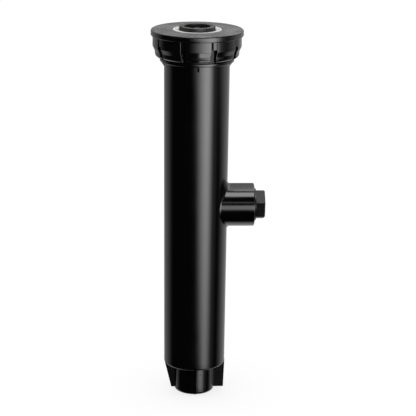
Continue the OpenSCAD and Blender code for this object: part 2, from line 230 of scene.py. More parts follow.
def skin(name, rings, closed):
    """A mesh over equal rings of points. closed joins the last ring to the first, else both get a cap."""
    n = len(rings[0])
    count = len(rings)
    faces = []
    for i in range(count if closed else count - 1):
        k = (i + 1) % count
        for j in range(n):
            m = (j + 1) % n
            faces.append((i * n + j, i * n + m, k * n + m, k * n + j))
    if not closed:
        faces.append(tuple(reversed(range(n))))
        faces.append(tuple(range((count - 1) * n, count * n)))
    made = plain(name, [p for ring in rings for p in ring], faces)
    clean(made)
    return made


def around(profile, angle):
    """Points (radius, height) put in the half plane through Z at an angle."""
    return [(r * math.cos(angle), r * math.sin(angle), z) for r, z in profile]


def turned(name, outline, steps=160, shape=None, span=None):
    """A closed outline of (radius, height) turned about Z. shape(r, z, angle) may reshape it round
    the turn. span is a first and last angle for a part turn, whose ends are closed."""
    first, last = span or (0, 2 * math.pi)
    rings = []
    for i in range(steps + (1 if span else 0)):
        angle = first + (last - first) * i / steps
        profile = [shape(p[0], p[1], angle) if shape else (p[0], p[1]) for p in outline]
        rings.append(around(profile, angle))
    return skin(name, rings, closed=span is None)


def helix(name, section, turns, pitch, z, first=0.0, fade=0.12, root=0, steps=48):
    """A ridge of section points (radius, height) wound about Z, fading into radius root at both ends."""
    rings = []
    count = int(turns * steps)
    for i in range(count + 1):
        turn = i / steps
        share = min(1, (turn / fade) + 0.04, ((turns - turn) / fade) + 0.04)
        profile = [(root + (r - root) * share, z + h * share + pitch * turn) for r, h in section]
        rings.append(around(profile, first + 2 * math.pi * turn))
    return skin(name, rings, closed=False)


def wire(name, path, radius, sides=10):
    """A round wire along a path of points, with closed ends."""
    rings = []
    side = None
    for i, p in enumerate(path):
        ahead = Vector(path[min(i + 1, len(path) - 1)]) - Vector(path[max(i - 1, 0)])
        ahead.normalize()
        side = (side or ahead.orthogonal()) - ahead * (side or ahead.orthogonal()).dot(ahead)
        side.normalize()
        other = ahead.cross(side)
        ring = []
        for k in range(sides):
            a = 2 * math.pi * k / sides
            ring.append(Vector(p) + (side * math.cos(a) + other * math.sin(a)) * radius)
        rings.append(ring)
    return skin(name, rings, closed=False)


def block(size, at, angle=0.0, round_by=0.2):
    """A box with rounded edges, centred at a point and turned about Z, to join to or cut from a piece."""
    work = bmesh.new()
    bmesh.ops.create_cube(work, size=1)
    bmesh.ops.scale(work, vec=Vector(size) * MM, verts=work.verts)
    if round_by:
        bmesh.ops.bevel(
            work,
            geom=work.verts[:] + work.edges[:],
            offset=round_by * MM,
            segments=3,
            profile=0.5,
            affect="EDGES",
        )
    mesh = bpy.data.meshes.new("block")
    work.to_mesh(mesh)
    work.free()
    mesh.transform(Matrix.Rotation(angle, 4, "Z") @ Matrix.Translation(Vector(at) * MM))
    return placed("block", mesh)


def rod(radius, z0, z1, steps=96):
    """A plain turned bar about Z, to join to or cut from a piece."""
    return turned("rod", densified(fillet(oblong(0, radius, z0, z1)), 6), steps)


def combine(base, tool, operation):
    """The base joined with or cut by a tool, which is used up."""
    change = base.modifiers.new("combine", "BOOLEAN")
    change.operation = operation
    change.solver = "MANIFOLD"
    change.object = tool
    bpy.context.view_layer.update()
    made = bpy.data.meshes.new_from_object(base.evaluated_get(bpy.context.evaluated_depsgraph_get()))
    base.modifiers.clear()
    if not made.polygons:
        raise RuntimeError(f"{base.name}: {operation} left nothing")
    made.name = base.name
    base.data = made
    bpy.data.objects.remove(tool)
    return base


def join(base, *tools):
    for tool in tools:
        combine(base, tool, "UNION")
    return base


def cut(base, *tools):
    for tool in tools:
        combine(base, tool, "DIFFERENCE")
    return base


def to_x(obj, x=0.0, z=0.0):
    """Lays a piece made about Z along +X, at a height."""
    lay = Matrix.Rotation(math.pi / 2, 4, "Y")
    obj.data.transform(Matrix.Translation((x * MM, 0, z * MM)) @ lay)
    return obj


def dress(obj, material, body, node, sharp=32):
    """Gives a piece its material, shading and body, and hides the CAD node that it replaces."""
    clean(obj)
    for face in obj.data.polygons:
        face.use_smooth = True
    obj.data.set_sharp_from_angle(angle=math.radians(sharp))
    obj.data.materials.clear()
    obj.data.materials.append(material)
    weights = obj.modifiers.new("normals", "WEIGHTED_NORMAL")
    weights.keep_sharp = True
    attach(obj, body)
    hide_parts(node)
    return obj


# ---------------------------------------------------------------- materials


class Nodes:
    """Short forms for building a node tree."""

    def __init__(self, tree):
        self.tree = tree
        self.tree.nodes.clear()

    def add(self, kind, **settings):
        made = self.tree.nodes.new(kind)
        for key, value in settings.items():
            setattr(made, key, value)
        return made

    def link(self, source, target):
        if isinstance(source, bpy.types.NodeSocket):
            self.tree.links.new(source, target)
        else:
            target.default_value = source

    def math(self, operation, a, b=0.0, clamp=False):
        made = self.add("ShaderNodeMath", operation=operation, use_clamp=clamp)
        self.link(a, made.inputs[0])
        self.link(b, made.inputs[1])
        return made.outputs[0]

    def ramp(self, value, low, high, out_low=0.0, out_high=1.0):
        """A smooth step of value from low to high."""
        made = self.add("ShaderNodeMapRange", interpolation_type="SMOOTHSTEP")
        self.link(value, made.inputs["Value"])
        self.link(low, made.inputs["From Min"])
        self.link(high, made.inputs["From Max"])
        self.link(out_low, made.inputs["To Min"])
        self.link(out_high, made.inputs["To Max"])
        return made.outputs["Result"]

    def window(self, value, low, low_full, high_full, high):
        """1 between low_full and high_full, fading to 0 at low and at high."""
        rise = self.ramp(value, low, low_full)
        fall = self.ramp(value, high_full, high, 1.0, 0.0)
        return self.math("MULTIPLY", rise, fall)

    def noise(self, place, scale, detail=3.0, roughness=0.5):
        made = self.add("ShaderNodeTexNoise")
        self.link(place, made.inputs["Vector"])
        made.inputs["Scale"].default_value = scale
        made.inputs["Detail"].default_value = detail
        made.inputs["Roughness"].default_value = roughness
        return made.outputs["Fac"]

    def stretched(self, place, stretch):
        made = self.add("ShaderNodeVectorMath", operation="MULTIPLY")
        self.link(place, made.inputs[0])
        made.inputs[1].default_value = stretch
        return made.outputs[0]

    def mixed(self, share, a, b):
        made = self.add("ShaderNodeMix", data_type="RGBA")
        self.link(share, made.inputs[0])
        self.link(a, made.inputs[6])
        self.link(b, made.inputs[7])
        return made.outputs[2]


def shade(colour, factor):
    return tuple(min(1, c * factor) for c in colour) + (1,)


def broken_edges(n, place, geometry):
    """1 on convex edges, with gaps, and 0 elsewhere."""
    edge = n.ramp(geometry.outputs["Pointiness"], 0.53, 0.62)
    return n.math("MULTIPLY", edge, n.ramp(n.noise(place, 500, 3), 0.35, 0.65))


def upward_face(n, place, geometry, above):
    """1 on faces that look up and lie above a height, 0 elsewhere."""
    up = n.add("ShaderNodeSeparateXYZ")
    n.link(geometry.outputs["Normal"], up.inputs[0])
    where = n.add("ShaderNodeSeparateXYZ")
    n.link(place, where.inputs[0])
    facing = n.ramp(up.outputs[2], 0.6, 0.95)
    high = n.ramp(where.outputs[2], (above - 0.3) * MM, above * MM)
    return n.math("MULTIPLY", facing, high)


def speckled(n, place, colour):
    """A finely speckled colour with large faded patches."""
    speckle = n.ramp(n.noise(place, 800, 3, 0.6), 0.3, 0.7)
    faded = n.ramp(n.noise(n.stretched(place, (1, 1, 0)), 70, 2), 0.35, 0.7)
    fresh = n.mixed(speckle, shade(colour, 0.3), shade(colour, 1.6))
    old = n.mixed(speckle, shade(colour, 0.9), shade(colour, 2.9))
    return n.mixed(faded, fresh, old)


def surface(
    name,
    colour,
    rough,
    rough_spread=0.04,
    mottle=0.25,
    grain=0.0,
    grain_size=0.3,
    ripple=0.0,
    streak=(1, 1, 1),
    worn=0.0,
    worn_colour=None,
    metallic=0.0,
    specular=0.5,
    subsurface=0.0,
    matte_above=None,
    matte_colour=(0.08, 0.08, 0.08),
    matte_rough=0.6,
    matte_grain=0.0,
):
    """A material with varied colour and roughness, a fine grain and a slow ripple as bump, and
    edges worn lighter. Lengths are in millimetres. Above the height matte_above, faces that look
    up get their own colour, roughness and grain."""
    material = bpy.data.materials.new(name)
    material.use_nodes = True
    n = Nodes(material.node_tree)
    place = n.add("ShaderNodeTexCoord").outputs["Object"]
    geometry = n.add("ShaderNodeNewGeometry")
    shader = n.add("ShaderNodeBsdfPrincipled")
    output = n.add("ShaderNodeOutputMaterial")
    n.link(shader.outputs[0], output.inputs[0])

    drawn = n.stretched(place, streak)
    patches = n.noise(drawn, 60, 4)
    fine = n.noise(drawn, 900, 2)
    tone = n.mixed(patches, shade(colour, 1 - mottle), shade(colour, 1 + mottle))
    if worn:
        share = n.math("MULTIPLY", broken_edges(n, place, geometry), worn)
        tone = n.mixed(share, tone, (worn_colour or shade(colour, 3)[:3]) + (1,))

    spread = n.math("ADD", n.math("MULTIPLY", patches, 2), n.math("SUBTRACT", fine, 1.5))
    roughness = n.math("MULTIPLY_ADD", spread, rough_spread, clamp=True)
    roughness.node.inputs[2].default_value = rough
    height = n.math("MULTIPLY", n.noise(place, 1 / (grain_size * MM), 2), grain * MM)
    if matte_above is not None:
        face = upward_face(n, place, geometry, matte_above)
        tone = n.mixed(face, tone, speckled(n, place, matte_colour))
        matt = n.math("MULTIPLY_ADD", face, n.math("SUBTRACT", matte_rough, roughness))
        n.link(roughness, matt.node.inputs[2])
        roughness = matt
        extra = n.math("MULTIPLY", n.noise(place, 2600, 2, 0.6), matte_grain * MM)
        lifted = n.math("MULTIPLY_ADD", face, extra)
        n.link(height, lifted.node.inputs[2])
        height = lifted
    if ripple:
        slow = n.math("MULTIPLY", n.noise(drawn, 45, 2, 0.4), ripple * MM)
        height = n.math("ADD", height, slow)
    n.link(tone, shader.inputs["Base Color"])
    n.link(roughness, shader.inputs["Roughness"])
    bump = n.add("ShaderNodeBump")
    bump.inputs["Strength"].default_value = 1.0
    bump.inputs["Distance"].default_value = 1.0
    n.link(height, bump.inputs["Height"])
    n.link(bump.outputs[0], shader.inputs["Normal"])
    shader.inputs["Metallic"].default_value = metallic
    shader.inputs["Specular IOR Level"].default_value = specular
    if subsurface:
        shader.inputs["Subsurface Weight"].default_value = subsurface
        shader.inputs["Subsurface Radius"].default_value = (0.9 * MM, 0.8 * MM, 0.7 * MM)
    return material


WORN = (0.02, 0.02, 0.021)
CASE_BLACK = surface(
    "case_black", (0.001, 0.001, 0.0011), 0.15, ripple=0.02, grain=0.0006, worn=0.3, worn_colour=WORN
)
CAP_BLACK = surface(
    "cap_black",
    (0.0012, 0.0012, 0.0013),
    0.17,
    grain=0.001,
    worn=0.35,
    worn_colour=WORN,
    matte_above=CAP_TOP - 0.4,
    matte_rough=0.5,
    matte_grain=0.012,
)
PLUG_BLACK = surface(
    "plug_black",
    (0.002, 0.002, 0.0022),
    0.3,
    grain=0.002,
    worn=0.3,
    worn_colour=WORN,
    specular=0.34,
)
INNER_BLACK = surface("inner_black", (0.012, 0.012, 0.0125), 0.34, grain=0.001, worn=0.2)
STEM_BLACK = surface("stem_black", (0.006, 0.006, 0.0065), 0.2, grain=0.0005, streak=(6, 6, 0.5))
NOZZLE_BLACK = surface(
    "nozzle_black",
    (0.008, 0.008, 0.0085),
    0.34,
    grain=0.001,
    worn=0.3,
    matte_above=NOZZLE_TOP - 0.5,
    matte_colour=(0.03, 0.03, 0.03),
    matte_rough=0.5,
    matte_grain=0.01,
)
SEAL_WHITE = surface(
    "seal_white", (0.7, 0.7, 0.68), 0.5, mottle=0.07, grain=0.003, subsurface=0.15
)
RATCHET_GREY = surface("ratchet_grey", (0.3, 0.31, 0.33), 0.38, mottle=0.1, grain=0.001)
PISTON_WHITE = surface("piston_white", (0.72, 0.72, 0.69), 0.36, mottle=0.05, subsurface=0.1)
FILTER_WHITE = surface("filter_natural", (0.66, 0.66, 0.62), 0.42, mottle=0.06, subsurface=0.2)
RUBBER = surface("foot_rubber", (0.012, 0.012, 0.012), 0.62, grain=0.004, mottle=0.35, specular=0.35)
SPRING_STEEL = surface(
    "spring_steel", (0.58, 0.58, 0.6), 0.26, 0.08, mottle=0.15, streak=(1, 1, 6), metallic=1
)
SCREEN_STEEL = surface("screen_steel", (0.55, 0.56, 0.58), 0.32, 0.08, mottle=0.15, metallic=1)
SCREW_STEEL = surface("screw_steel", (0.6, 0.6, 0.62), 0.3, 0.1, mottle=0.12, metallic=1)


# ---------------------------------------------------------------- case


def barrel_r(z):
    """Radius of the tapered barrel at a height."""
    share = (z - BARREL_FOOT_Z) / (COLLAR_Z - BARREL_FOOT_Z)
    return BARREL_FOOT_R + (BARREL_TOP_R - BARREL_FOOT_R) * share


def case_shell():
    corners = [
        (INLET_HOLE_R, INLET_DEPTH, 0.3),
        (INLET_R, INLET_DEPTH, 0.2),
        (INLET_R, 0, 0.35),
        (BOSS_R, 0, 1.9),
        (BOSS_R, BARREL_FOOT_Z, 0.5),
        (BARREL_FOOT_R, BARREL_FOOT_Z, 1.3),
        (BARREL_TOP_R, COLLAR_Z, 0.2),
        (CASE_COLLAR_R, COLLAR_Z, 0.7),
        (CASE_COLLAR_R, COLLAR_Z + CASE_COLLAR_T, 0.25),
        (NECK_R, COLLAR_Z + CASE_COLLAR_T, 0.3),
        (NECK_R, CASE_TOP, 0.6),
        (SEAT_BORE_R, CASE_TOP, 0.3),
        (SEAT_BORE_R, LEDGE_Z, 0.2),
        (BORE_R, LEDGE_Z, 0.3),
        (BORE_R, FLOOR_Z, 1),
        (INLET_HOLE_R, FLOOR_Z, 0.4),
    ]
    return turned("body_case", densified(fillet(corners), 4), FINE_STEPS)


def web(corners, angle, thickness):
    """An upright rib in the plane through Z at an angle, with rounded edges."""
    outline = fillet(corners, 3)
    middle = sum(outline, Vector((0, 0))) / len(outline)
    turn = Matrix.Rotation(angle, 3, "Z")
    edge = 0.18
    half = thickness / 2
    rings = []
    for y, inset in ((-half, edge), (edge - half, 0), (half - edge, 0), (half, edge)):
        points = [p + (middle - p).normalized() * inset for p in outline]
        rings.append([turn @ Vector((q.x, y, q.y)) for q in points])
    return skin("web", rings, closed=False)


def fin(foot_r, rim_r, angle):
    """One web between the bottom boss and the barrel's rim."""
    root_r = BOSS_R - 1
    high = BARREL_FOOT_Z + 1.2
    corners = [(root_r, FIN_FOOT_Z), (foot_r, FIN_FOOT_Z, 0.4), (rim_r, high), (root_r, high)]
    return web(corners, angle, thickness=1.5)


def gusset(angle):
    """One small web that props the collar up from the barrel."""
    root_r = BARREL_TOP_R - 1
    rim_r = CASE_COLLAR_R - 0.7
    low, high = COLLAR_Z - 3.4, COLLAR_Z + 0.5
    corners = [
        (root_r, low),
        (root_r + 0.9, low),
        (rim_r, COLLAR_Z - 0.3, 0.3),
        (rim_r, high),
        (root_r, high),
    ]
    return web(corners, angle, thickness=1.3)


def gate_mark():
    """A shallow round pit in the bottom boss, where the moulding was fed."""
    radius, depth, height, angle = 0.5, 0.3, 13.8, math.radians(-74)
    pit = to_x(rod(radius, BOSS_R - depth, BOSS_R + 1, 24), 0, height)
    pit.data.transform(Matrix.Rotation(angle, 4, "Z"))
    return pit


def saddle_reach(turn, blend):
    """Where an arc of radius blend touches both the side boss and the barrel, in the plane through
    the boss's axis at an angle round it: the arc's centre and its point on the barrel, as (x, s)."""
    r = barrel_r(SIDE_Z + (SIDE_BOSS_R + blend) * math.sin(turn))
    s = np.linspace(0, min(r / max(abs(math.cos(turn)), 1e-6) * 0.999, 60), 3000)
    wall = np.sqrt(np.maximum(r * r - (s * math.cos(turn)) ** 2, 0))
    low, high = 5.0, 30.0
    for _ in range(40):
        x = (low + high) / 2
        gaps = np.hypot(wall - x, s - SIDE_BOSS_R - blend)
        inside = x < np.interp(SIDE_BOSS_R + blend, s, wall)
        if inside or gaps.min() < blend:
            low = x
        else:
            high = x
    nearest = int(gaps.argmin())
    return x, (wall[nearest], s[nearest])


def side_boss(blend=1.9, steps=96, arc_steps=8):
    """The side inlet's outer boss with a saddle fillet that dips just under the barrel's surface."""
    rings = []
    root_r = BORE_R + 0.6
    rim = [(MOUTH_X, 0), (MOUTH_X, SIDE_BOSS_R, 0.75), (MOUTH_X - 6, SIDE_BOSS_R)]
    mouth = fillet(rim, 5)[:-1]
    for i in range(steps):
        turn = 2 * math.pi * i / steps
        x, touch = saddle_reach(turn, blend)
        centre = Vector((x, SIDE_BOSS_R + blend))
        start = -math.pi / 2
        end = math.atan2(touch[1] - centre.y, touch[0] - centre.x)
        end -= 2 * math.pi if end > 0 else 0
        end -= math.radians(8)
        profile = list(mouth)
        run = mouth[-1].x - x
        profile += [Vector((mouth[-1].x - run * k / 6, SIDE_BOSS_R)) for k in range(1, 6)]
        for k in range(arc_steps + 1):
            a = start + (end - start) * k / arc_steps
            profile.append(centre + Vector((math.cos(a), math.sin(a))) * blend)
        profile.append(Vector((profile[-1].x - 1.2, profile[-1].y - 0.5)))
        profile.append(Vector((root_r, 3)))
        profile.append(Vector((root_r, 0)))
        rings.append([
            Vector((p.x, p.y * math.cos(turn), SIDE_Z + p.y * math.sin(turn))) for p in profile
        ])
    return skin("side_boss", rings, closed=True)


def ridge_section(base_r, crest_r, base_w, crest_w, root):
    """A thread's section as (radius, height): flanks from base_r to crest_r on a foot sunk to root."""
    return [
        (root, -base_w / 2),
        (base_r, -base_w / 2),
        (crest_r, -crest_w / 2),
        (crest_r, crest_w / 2),
        (base_r, base_w / 2),
        (root, base_w / 2),
    ]


def cap_thread(wall_r, outwards, first=0.0):
    """The thread between neck and cap, on a wall. outwards is 1 for the male one, -1 for the other."""
    root = wall_r - 0.4 * outwards
    section = ridge_section(wall_r, wall_r + THREAD_DEPTH * outwards, 2.4, 1.4, root)
    return helix("thread", section, THREAD_TURNS, THREAD_PITCH, THREAD_Z, first, root=root)


def pipe_groove(bore_r, length, depth=0.55):
    """A pipe thread's groove, wound outwards from a bore's wall about Z."""
    root, crest = bore_r - 0.4, bore_r + depth
    section = [(root, -0.95), (crest, -0.15), (crest, 0.15), (root, 0.95)]
    turns = (length - 2) / PIPE_PITCH
    return helix("groove", section, turns, PIPE_PITCH, 1.2, root=root, fade=0.3)


def key_angle(i):
    """Where the ribs of the case's bore and the notches of the ratchet ring are."""
    return math.radians(45 + 90 * i)


def key_rib(i):
    """One of the bore's ribs, which keep the ratchet ring from turning."""
    height = LEDGE_Z - FLOOR_Z - 3
    at = BORE_R - 0.35, 0, FLOOR_Z + 2 + height / 2
    return block((1.5, 1.6, height), at, key_angle(i))


def body_case():
    case = case_shell()
    join(case, fin(BARREL_FOOT_R - 0.5, BARREL_FOOT_R + 0.2, 0))
    for i in (1, 2, 3):
        join(case, fin(FIN_FOOT_R, BARREL_FOOT_R, i * math.pi / 2))
    for i in range(4):
        join(case, gusset(i * math.pi / 2))
    join(case, side_boss())
    for i in range(4):
        join(case, key_rib(i))
    cut(case, to_x(rod(SIDE_BORE_R, BORE_R - 3, MOUTH_X + 2), 0, SIDE_Z))
    cut(case, to_x(pipe_groove(SIDE_BORE_R, 15), MOUTH_X - 15.5, SIDE_Z))
    cut(case, pipe_groove(INLET_R, INLET_DEPTH - 0.5))
    join(case, cap_thread(NECK_R, 1))
    cut(case, gate_mark())
    return dress(case, CASE_BLACK, "case", "body_case")


# ---------------------------------------------------------------- plug


def plug_head(length):
    """The plug's hexagon, with eased ends and a shallow recess in its face."""
    corner_r = PLUG_FLATS / 2 / math.cos(math.pi / 6)
    corners = [(*around([(corner_r, 0)], i * math.pi / 3)[0][:2], 0.7) for i in range(6)]
    outline = fillet(corners, 4)
    lean = Matrix.Rotation(PLUG_LEAN, 3, "Z")
    rings = []
    for z, inset in ((0, 0.25), (0.2, 0), (length - 0.7, 0), (length - 0.25, 0.22), (length, 0.7)):
        shrunk = [p * (1 - inset / 9) for p in outline]
        rings.append([lean @ Vector((q.x, q.y, z)) for q in shrunk])
    head = skin("side_plug", rings, closed=False)
    deep, face = length - 1.6, length + 1
    recess = fillet([(0, deep), (4.6, deep, 0.4), (5.2, face), (0, face)])
    return cut(head, turned("recess", recess, 96))


def plug_shank():
    """The plug's hollow shank, below the head."""
    hollow_r, end, roof = 6.5, -13, -2
    corners = [
        (0, 1),
        (SHANK_R, 1),
        (SHANK_R, end, 0.6),
        (hollow_r, end, 0.3),
        (hollow_r, roof, 0.5),
        (0, roof),
    ]
    return turned("shank", densified(fillet(corners), 4), LATHE_STEPS)


def side_plug():
    shoulder = MOUTH_X + 0.05
    plug = join(plug_head(PLUG_X - shoulder), plug_shank())
    root = SHANK_R - 0.3
    section = ridge_section(SHANK_R, SHANK_R + 0.35, 1.2, 0.35, root)
    join(plug, helix("thread", section, 5.6, PIPE_PITCH, -11.9, root=root, fade=0.3))
    to_x(plug, shoulder, SIDE_Z)
    return dress(plug, PLUG_BLACK, "plug", "side_plug")


# ---------------------------------------------------------------- cap and seal


def clamped(value):
    return min(1, max(0, value))


def slot_floor(z):
    """Radius of a grip slot's floor: upright above, leaning inwards below."""
    return SLOT_FLOOR_R - SLOT_LEAN * clamped((PAD_FOOT - z) / (PAD_FOOT - SKIRT_FOOT + 1))


def slot_wall(u, z, skin_r, edge=0.3):
    """Radius from which a grip slot is open, u round from its middle. The panels' edges are round,
    and a pad fills the slot's upper half but for a gap on one side."""
    past = abs(u) - SLOT_HALF
    if past > edge:
        return skin_r + 0.05
    if past >= 0:
        return skin_r - edge + math.sqrt(edge**2 - (edge - past) ** 2)
    floor_r = slot_floor(z) + max(0, 0.3 + past)
    across = clamped((u - PAD_EDGE) / 0.2 + 0.5)
    up = clamped((z - PAD_FOOT) / 0.3 + 0.5)
    return max(min(skin_r - edge, floor_r), slot_floor(z) + (PAD_R - slot_floor(z)) * across * up)


def grip_slot(outline, under, middle):
    """The space of one grip slot, to cut from the cap, with more points where its wall bends."""
    outer = [p for p in outline if 24 < p.x < SKIRT_TOP_R + 0.3 and p.y < under + 0.001]
    heights, radii = zip(*sorted((p.y, p.x) for p in outer))
    low, clear_r = SKIRT_FOOT - 1, 31
    levels = list(np.linspace(low, PAD_FOOT - 0.4, 24))
    levels += list(np.linspace(PAD_FOOT - 0.2, PAD_FOOT + 0.2, 5))
    levels += list(np.linspace(PAD_FOOT + 0.5, under - 0.3, 8))
    levels += [under - 0.15, under - 0.05, under]
    walls = [SLOT_HALF + d for d in (-0.3, -0.15, -0.03, 0, 0.03, 0.09, 0.17, 0.26, 0.33)]
    across = [-w for w in walls] + walls + [-1.1, 0, 0.6, 1.1]
    across += [PAD_EDGE + d for d in (-0.16, -0.1, -0.05, 0, 0.05, 0.1, 0.16)]
    rings = []
    for u in sorted(across):
        wall = [(slot_wall(u, z, np.interp(z, heights, radii)), z) for z in levels]
        rings.append(around(wall + [(clear_r, under), (clear_r, low)], middle + u / SLOT_R))
    return skin("slot", rings, closed=False)


def cap():
    under = CAP_TOP - FLANGE_T
    roof, rib_foot = CAP_TOP - 3.4, CAP_TOP - 8.7
    corners = [
        (CAP_HOLE_R, rib_foot, 0.3),
        (CAP_HOLE_R, CAP_TOP, 0.3),
        (CAP_R, CAP_TOP, 1.1),
        (CAP_R, under, 0.6),
        (SKIRT_TOP_R, under, 0.25),
        (SKIRT_TOP_R, CAP_TOP - 10.2, 0.8),
        (26.1, CAP_TOP - 13.2, 0.8),
        (25.9, SKIRT_FOOT, 2),
        (CAP_ROOT_R, SKIRT_FOOT, 0.5),
        (CAP_ROOT_R, roof, 0.3),
        (CLAMP_RIB_R, roof, 0.3),
        (CLAMP_RIB_R, rib_foot, 0.3),
    ]
    outline = densified(fillet(corners), 1.5)
    made = turned("cap", outline, 288)
    for i in range(SLOT_COUNT):
        turn = 2 * math.pi * (i + 0.5) / SLOT_COUNT
        cut(made, grip_slot(outline, under, turn - math.pi / 2))
    join(made, cap_thread(CAP_ROOT_R, -1, math.pi))
    return dress(made, CAP_BLACK, "cap", "cap")


def wiper_seal():
    hub_r = CAP_HOLE_R - 0.2
    lip_r = COLLAR_R + 0.15
    base = foot("wiper_seal").z
    corners = [
        (lip_r, base + 0.5, 0.2),
        (lip_r + 0.5, base, 0.2),
        (CLAMP_RIB_R, base, 0.3),
        (CLAMP_RIB_R, base + 2.6, 0.3),
        (hub_r, base + 2.6, 0.4),
        (hub_r, CAP_TOP, 0.25),
        (13.7, CAP_TOP, 0.2),
        (13.4, CAP_TOP - 0.35, 0.2),
        (lip_r, CAP_TOP - 0.35, 0.3),
        (lip_r, CAP_TOP - 1.2, 0.2),
        (12.8, CAP_TOP - 2.2, 0.4),
        (12.8, base + 2.4, 0.4),
        (lip_r, base + 1.3, 0.2),
    ]
    made = turned("wiper_seal", densified(fillet(corners, 4), 1.5), 160)
    return dress(made, SEAL_WHITE, "seal", "wiper_seal")


def spring_seat_ring():
    z = LEDGE_Z + 0.05
    corners = [
        (12.4, z - 1.6, 0.3),
        (13.5, z - 1.6, 0.3),
        (13.5, z, 0.2),
        (19.35, z, 0.3),
        (19.35, z + 2.5, 0.3),
        (12.4, z + 2.5, 0.3),
    ]
    made = turned("spring_seat_ring", fillet(corners, 4), LATHE_STEPS)
    for i in range(8):
        hole = rod(0.9, -5, 5, 32)
        at = Vector(around([(17.8, z)], math.radians(22.5 + 45 * i))[0])
        hole.data.transform(Matrix.Translation(at * MM))
        cut(made, hole)
    return dress(made, INNER_BLACK, "case", "spring_seat_ring")


# ---------------------------------------------------------------- springs


def coil_height(turn, turns, wire_r, height):
    """Height of a coil's centre line: one closed turn at each end and an even pitch between."""
    closed = 2.1 * wire_r
    pitch = (height - 2 * wire_r - 2 * closed) / (turns - 2)
    working = pitch * max(0, min(turn - 1, turns - 2))
    return wire_r + closed * min(turn, 1) + working + closed * max(0, turn - turns + 1)


def coil(name, mean_r, wire_r, turns, z0, z1, steps=40):
    path = []
    for i in range(turns * steps + 1):
        turn = i / steps
        z = z0 + coil_height(turn, turns, wire_r, z1 - z0)
        path.append(Vector(around([(mean_r, z)], 2 * math.pi * turn)[0]))
    return wire(name, path, wire_r)


def retract_spring():
    low, high = foot("retract_spring").z, top("retract_spring").z
    made = coil("retract_spring", 14.6, 0.75, 20, low, high)
    dress(made, SPRING_STEEL, "case", "retract_spring")
    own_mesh(made)
    return made


def regulator_spring():
    low, high = foot("regulator_spring").z, top("regulator_spring").z
    made = coil("regulator_spring", 5.35, 0.45, 9, low, high, 32)
    dress(made, SPRING_STEEL, "riser", "regulator_spring")
    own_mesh(made)
    return made


# ---------------------------------------------------------------- ratchet


def tooth_rise(angle):
    """Height of a ramped tooth: rises along the first part of each pitch, drops at its end."""
    phase = (angle * TOOTH_COUNT / (2 * math.pi)) % 1
    return 0 if phase > TOOTH_SHARE else TOOTH_H * min(1, phase / (TOOTH_SHARE * 0.8))


def ratchet_ring():
    z, high = RATCHET_Z, RATCHET_TOP
    ring_r = BORE_R - 0.25
    corners = [
        (STEM_R + 0.3, z, 0.2),
        (ring_r, z, 0.3),
        (ring_r, high, 0.3),
        (STEM_R + 0.3, high, 0.3),
    ]
    made = turned("ratchet_ring", fillet(corners, 4), FINE_STEPS)

    def recess(r, h, angle):
        return r, h if h < z else z + tooth_rise(angle)

    teeth = densified(fillet(oblong(STEM_R + 1.2, ring_r - 1.4, z - 1, z)), 3)
    cut(made, turned("teeth", teeth, FINE_STEPS, recess))
    for i in range(4):
        cut(made, block((4, 2.2, 8), (17.95, 0, (z + high) / 2), key_angle(i), 0.3))
    return dress(made, RATCHET_GREY, "ratchet", "ratchet_ring")


def ratchet_retainer():
    """A snap ring with a gap at +X."""
    z = RATCHET_TOP + 0.05
    outline = fillet(oblong(STEM_R + 0.05, 13.4, z, z + 1.4, 0.2, 0.35, 0.35, 0.2), 4)
    gap = math.asin(1.2 / 12.3)
    made = turned("ratchet_retainer", outline, 120, span=(gap, 2 * math.pi - gap))
    return dress(made, RATCHET_GREY, "riser", "ratchet_retainer")


# ---------------------------------------------------------------- riser


def stem_teeth():
    """The ring of teeth on the riser's flange."""
    z = RISER_FLANGE_Z + RISER_FLANGE_T

    def tooth(r, h, angle):
        return r, z + tooth_rise(angle) if h > z else h

    ring = oblong(STEM_R + 1.4, RISER_FLANGE_R - 0.2, z - 0.3, z + TOOTH_H)
    return turned("teeth", densified(fillet(ring), 3), FINE_STEPS, tooth)


def riser_stem():
    high = RISER_FLANGE_Z + RISER_FLANGE_T
    neck_bore_r = 8
    corners = [
        (STEM_BORE_R, STEM_FOOT, 0.2),
        (STEM_R, STEM_FOOT, 0.25),
        (STEM_R, RISER_FLANGE_Z, 0.1),
        (RISER_FLANGE_R, RISER_FLANGE_Z, 0.3),
        (RISER_FLANGE_R, high, 0.3),
        (STEM_R, high, 0.2),
        (STEM_R, SHOULDER_Z, 0.4),
        (NECK_TUBE_R, SHOULDER_Z, 0.2),
        (NECK_TUBE_R, STEM_TOP, 0.3),
        (neck_bore_r, STEM_TOP, 0.2),
        (neck_bore_r, SHOULDER_Z - 6, 0.3),
        (STEM_BORE_R, SHOULDER_Z - 7, 0.3),
    ]
    made = turned("riser_stem", densified(fillet(corners, 4), 5), 160)
    join(made, stem_teeth())
    root = NECK_TUBE_R - 0.3
    section = ridge_section(NECK_TUBE_R, NECK_TUBE_R + 0.4, 1.2, 0.4, root)
    join(made, helix("thread", section, 2.6, 1.4, SHOULDER_Z + 1.1, root=root, fade=0.3))
    return dress(made, STEM_BLACK, "riser", "riser_stem")


def foot_seal():
    low, high = foot("foot_seal").z, top("foot_seal").z
    corners = oblong(6.6, 13.5, low, high, 0.3, 0.6, 0.4, 0.3)
    made = turned("foot_seal", densified(fillet(corners), 1.5), 128)
    return dress(made, RUBBER, "riser", "foot_seal")


